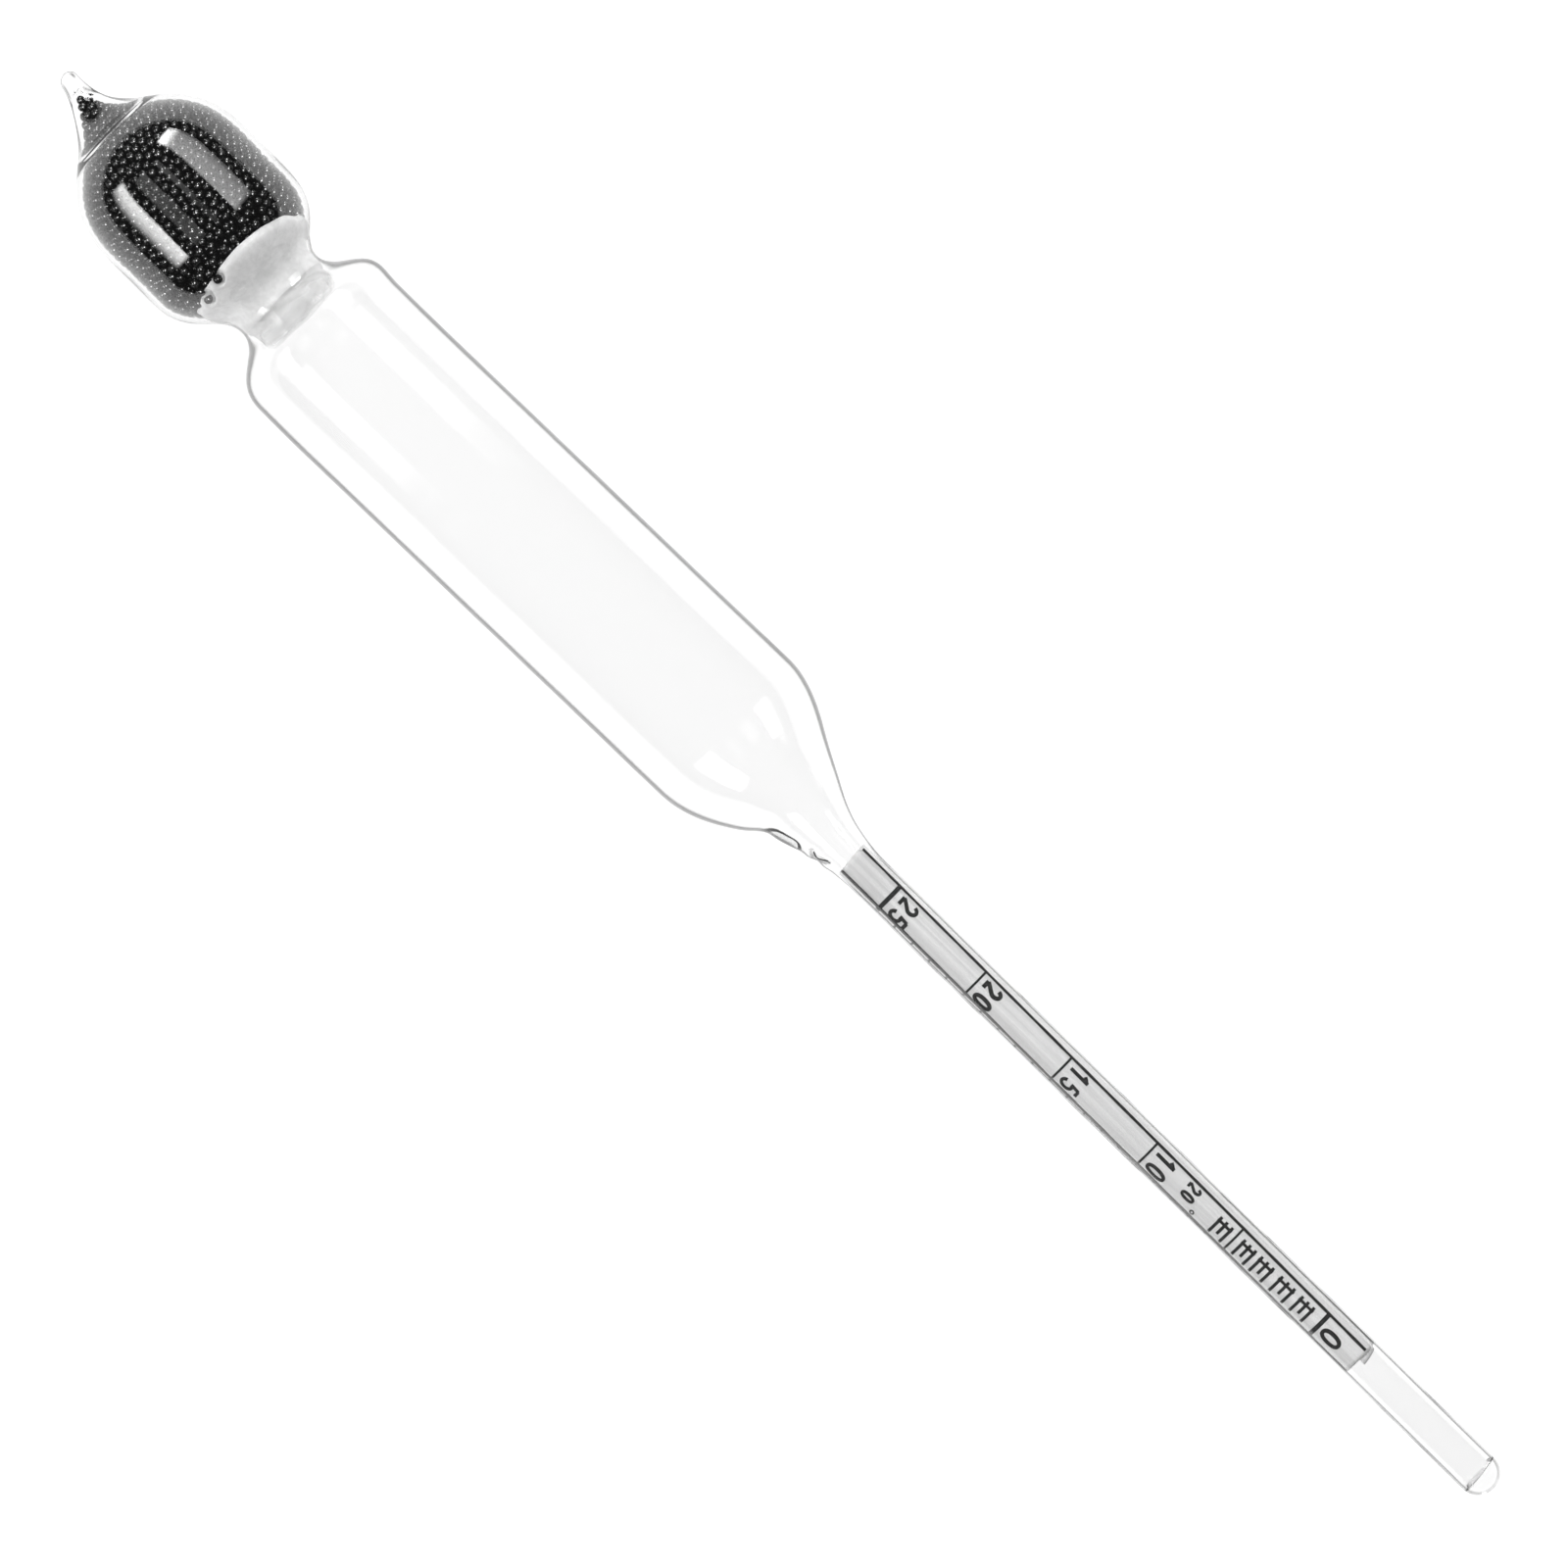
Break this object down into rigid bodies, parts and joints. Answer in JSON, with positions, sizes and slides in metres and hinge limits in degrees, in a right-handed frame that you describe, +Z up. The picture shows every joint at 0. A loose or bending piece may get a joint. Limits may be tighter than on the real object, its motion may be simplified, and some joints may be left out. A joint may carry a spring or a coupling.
{
  "type": "hydrometer",
  "caption": "Glass hydrometer: slim sealed stem with a rolled paper scale, wide float tube, narrow waist and a round bulb of steel shot under a gray plug.",
  "frame": {"origin": "under the middle of the length, on the surface that the bulb lies on", "axes": "+X along the instrument's axis from the bulb's nib to the closed end of the stem, +Z up with the scale facing up"},
  "size_m": [0.21, 0.02, 0.0199],
  "materials": {
    "clear_glass": "clear, thin, flame-worked and glossy",
    "scale_paper": "matt white card with black printed rules, ticks and numerals",
    "dried_glue": "clear amber dried adhesive",
    "plug_wax": "poured gray wax cement, dull with uneven edges",
    "dark_shot": "dark oxidised steel shot, small round balls with a soft shine"
  },
  "bodies": {
    "root": {"tip_seal": "clear_glass", "ballast_bulb": "clear_glass", "float_body": "clear_glass", "stem_tube": "clear_glass", "scale_card": "scale_paper", "card_glue_bottom": "dried_glue", "card_glue_top": "dried_glue", "retaining_plug": "plug_wax", "shot_charge": "dark_shot", "top_shot_01": "dark_shot", "top_shot_02": "dark_shot", "top_shot_03": "dark_shot", "top_shot_04": "dark_shot", "top_shot_05": "dark_shot", "top_shot_06": "dark_shot", "top_shot_07": "dark_shot", "top_shot_08": "dark_shot", "top_shot_09": "dark_shot", "top_shot_10": "dark_shot", "top_shot_11": "dark_shot", "top_shot_12": "dark_shot", "top_shot_13": "dark_shot", "top_shot_14": "dark_shot", "top_shot_15": "dark_shot", "top_shot_16": "dark_shot", "top_shot_17": "dark_shot", "top_shot_18": "dark_shot", "top_shot_19": "dark_shot", "top_shot_20": "dark_shot", "top_shot_21": "dark_shot", "top_shot_22": "dark_shot", "top_shot_23": "dark_shot", "top_shot_24": "dark_shot", "top_shot_25": "dark_shot", "top_shot_26": "dark_shot", "top_shot_27": "dark_shot", "top_shot_28": "dark_shot", "top_shot_29": "dark_shot", "top_shot_30": "dark_shot", "top_shot_31": "dark_shot", "top_shot_32": "dark_shot", "top_shot_33": "dark_shot", "top_shot_34": "dark_shot", "top_shot_35": "dark_shot", "top_shot_36": "dark_shot"}
  },
  "joints": []
}
